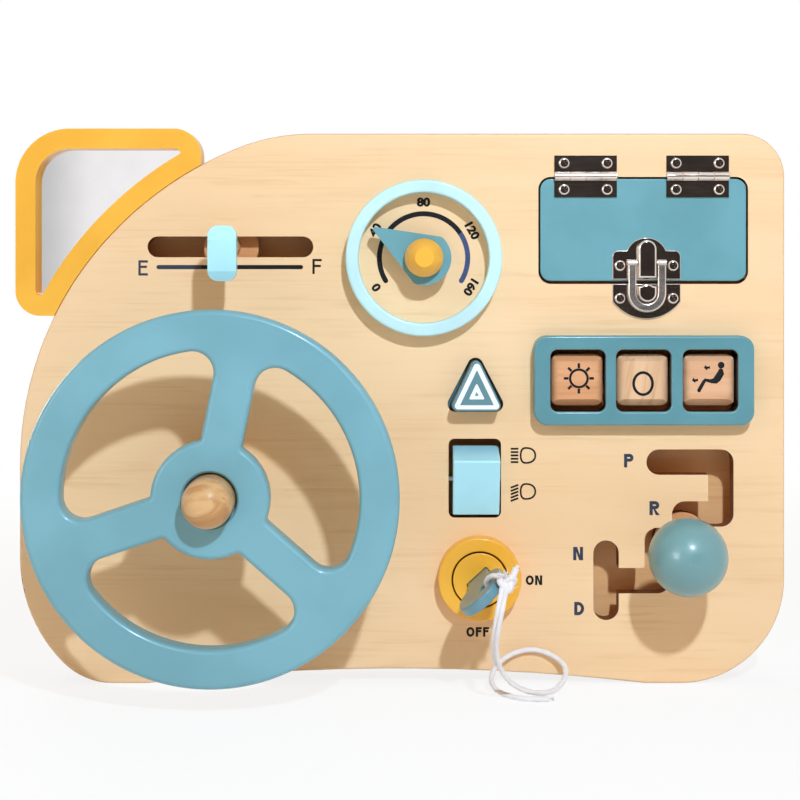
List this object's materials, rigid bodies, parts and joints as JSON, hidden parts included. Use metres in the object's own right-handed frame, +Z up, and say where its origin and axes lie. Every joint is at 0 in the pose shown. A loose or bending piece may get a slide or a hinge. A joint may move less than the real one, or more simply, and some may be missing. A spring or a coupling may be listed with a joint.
{
  "type": "wooden toddler busy board",
  "caption": "Upright wooden busy board shaped as a dashboard, with steering wheel, gear lever, key on a cord, latched door, sliders, turning blocks, button and mirror.",
  "frame": {"origin": "middle of the footprint, on the ground", "axes": "+Z up, -Y out of the board's face towards the child, +X to the right seen from the front"},
  "size_m": [0.3692, 0.162, 0.2664],
  "materials": {
    "beech_block": "clear satin varnish",
    "birch_dark": "clear satin varnish",
    "birch_face": "clear satin varnish",
    "chrome": "polished plating",
    "cotton": "twisted cotton",
    "mirror": "acrylic mirror",
    "paint_blue": "satin paint",
    "paint_deep_blue": "gloss paint",
    "paint_pale_blue": "satin paint",
    "paint_red": "satin paint",
    "paint_yellow": "satin paint",
    "steel": "zinc plated"
  },
  "bodies": {
    "board": {"front_panel": "birch_face", "spacer_rim": "birch_dark", "back_panel": "birch_face", "compartment_frame": "birch_dark", "rear_stand_left": "birch_face", "rear_stand_right": "birch_face", "mirror_frame": "paint_yellow", "mirror_glass": "mirror", "mirror_back_plate": "paint_yellow", "steering_column": "birch_face", "steering_washer": "steel", "steering_block": "birch_dark", "steering_bolt": "steel", "steering_cap": "birch_face", "dial_ring": "paint_pale_blue", "needle_spacer": "birch_face", "needle_screw": "steel", "air_frame": "paint_blue", "air_axle": "steel", "air_axle_keepers": "birch_dark", "hinge_left_panel_leaf": "chrome", "hinge_right_panel_leaf": "chrome", "hinge_left_pin": "chrome", "hinge_right_pin": "chrome", "hinge_panel_screws": "chrome", "latch_panel_plate": "chrome", "latch_panel_screws": "chrome", "rocker_pin": "steel", "rocker_pin_keepers": "birch_dark", "lock_ring": "paint_yellow", "lock_thrust_pad": "birch_dark", "hazard_spring": "steel"},
    "wheel": {"steering_wheel": "paint_blue"},
    "slider": {"slider_tab": "paint_pale_blue", "slider_stem": "birch_face", "slider_keeper": "birch_dark"},
    "pointer": {"needle": "paint_blue", "needle_knob": "paint_yellow"},
    "door": {"door": "paint_blue", "hinge_left_door_leaf": "chrome", "hinge_right_door_leaf": "chrome", "hinge_door_screws": "chrome", "latch_door_plate": "chrome", "latch_door_screws": "chrome", "latch_pin": "chrome"},
    "hasp": {"latch_hasp": "chrome"},
    "sun_block": {"air_block_sun": "beech_block"},
    "zero_block": {"air_block_zero": "beech_block"},
    "fan_block": {"air_block_fan": "beech_block"},
    "hazard": {"hazard_button": "paint_red"},
    "rocker": {"light_rocker": "paint_pale_blue"},
    "lock": {"lock_barrel": "birch_face"},
    "key": {"key": "birch_face", "key_loop": "cotton"},
    "lanyard": {"key_knot": "cotton", "long_cord": "cotton", "short_cord": "cotton"},
    "gear": {"gear_stem": "birch_face", "gear_ball": "paint_deep_blue", "gear_keeper": "birch_dark"}
  },
  "joints": [
    {"name": "steering_turn", "type": "hinge", "parent": "board", "child": "wheel", "pos_m": [-0.0841, -0.056, 0.0971], "axis": [0, -1, 0], "continuous": true},
    {"name": "fuel_slide", "type": "slide", "parent": "board", "child": "slider", "axis": [1, 0, 0], "range_m": [-0.034, 0.034]},
    {"name": "needle_turn", "type": "hinge", "parent": "board", "child": "pointer", "pos_m": [0.0113, -0.01, 0.2043], "axis": [0, -1, 0], "continuous": true},
    {"name": "door_swing", "type": "hinge", "parent": "board", "child": "door", "pos_m": [0.11675, -0.002, 0.2434], "axis": [-1, 0, 0], "range_deg": [0, 120]},
    {"name": "latch_swing", "type": "hinge", "parent": "door", "child": "hasp", "pos_m": [0.1182, -0.0025, 0.202], "axis": [-1, 0, 0], "range_deg": [0, 100]},
    {"name": "sun_block_turn", "type": "hinge", "parent": "board", "child": "sun_block", "pos_m": [0.0845, 0.0065, 0.146], "axis": [1, 0, 0], "continuous": true},
    {"name": "zero_block_turn", "type": "hinge", "parent": "board", "child": "zero_block", "pos_m": [0.1157, 0.0065, 0.146], "axis": [1, 0, 0], "continuous": true},
    {"name": "fan_block_turn", "type": "hinge", "parent": "board", "child": "fan_block", "pos_m": [0.1474, 0.0065, 0.146], "axis": [1, 0, 0], "continuous": true},
    {"name": "hazard_press", "type": "slide", "parent": "board", "child": "hazard", "axis": [0, 1, 0], "range_m": [0, 0.004], "stiffness_N_per_m": 200, "deforming": ["hazard_spring"]},
    {"name": "rocker_tilt", "type": "hinge", "parent": "board", "child": "rocker", "pos_m": [0.0359, 0.0035, 0.098], "axis": [-1, 0, 0], "range_deg": [0, 40]},
    {"name": "key_turn", "type": "hinge", "parent": "board", "child": "lock", "pos_m": [0.0379, 0, 0.0515], "axis": [0, -1, 0], "range_deg": [-47, 43]},
    {"name": "key_pull", "type": "slide", "parent": "lock", "child": "key", "axis": [0, -1, 0], "range_m": [0, 0.02]},
    {"name": "lanyard_swing", "type": "hinge", "parent": "key", "child": "lanyard", "pos_m": [0.04697, -0.0515, 0.05996], "axis": [0, -1, 0], "range_deg": [-43, 47]},
    {"name": "gear_shift", "type": "slide", "parent": "board", "child": "gear", "axis": [0, 0, 1], "range_m": [0, 0.012]}
  ],
  "couplings": [
    {"joint": "lanyard_swing", "follows": "key_turn", "ratio": -1}
  ]
}
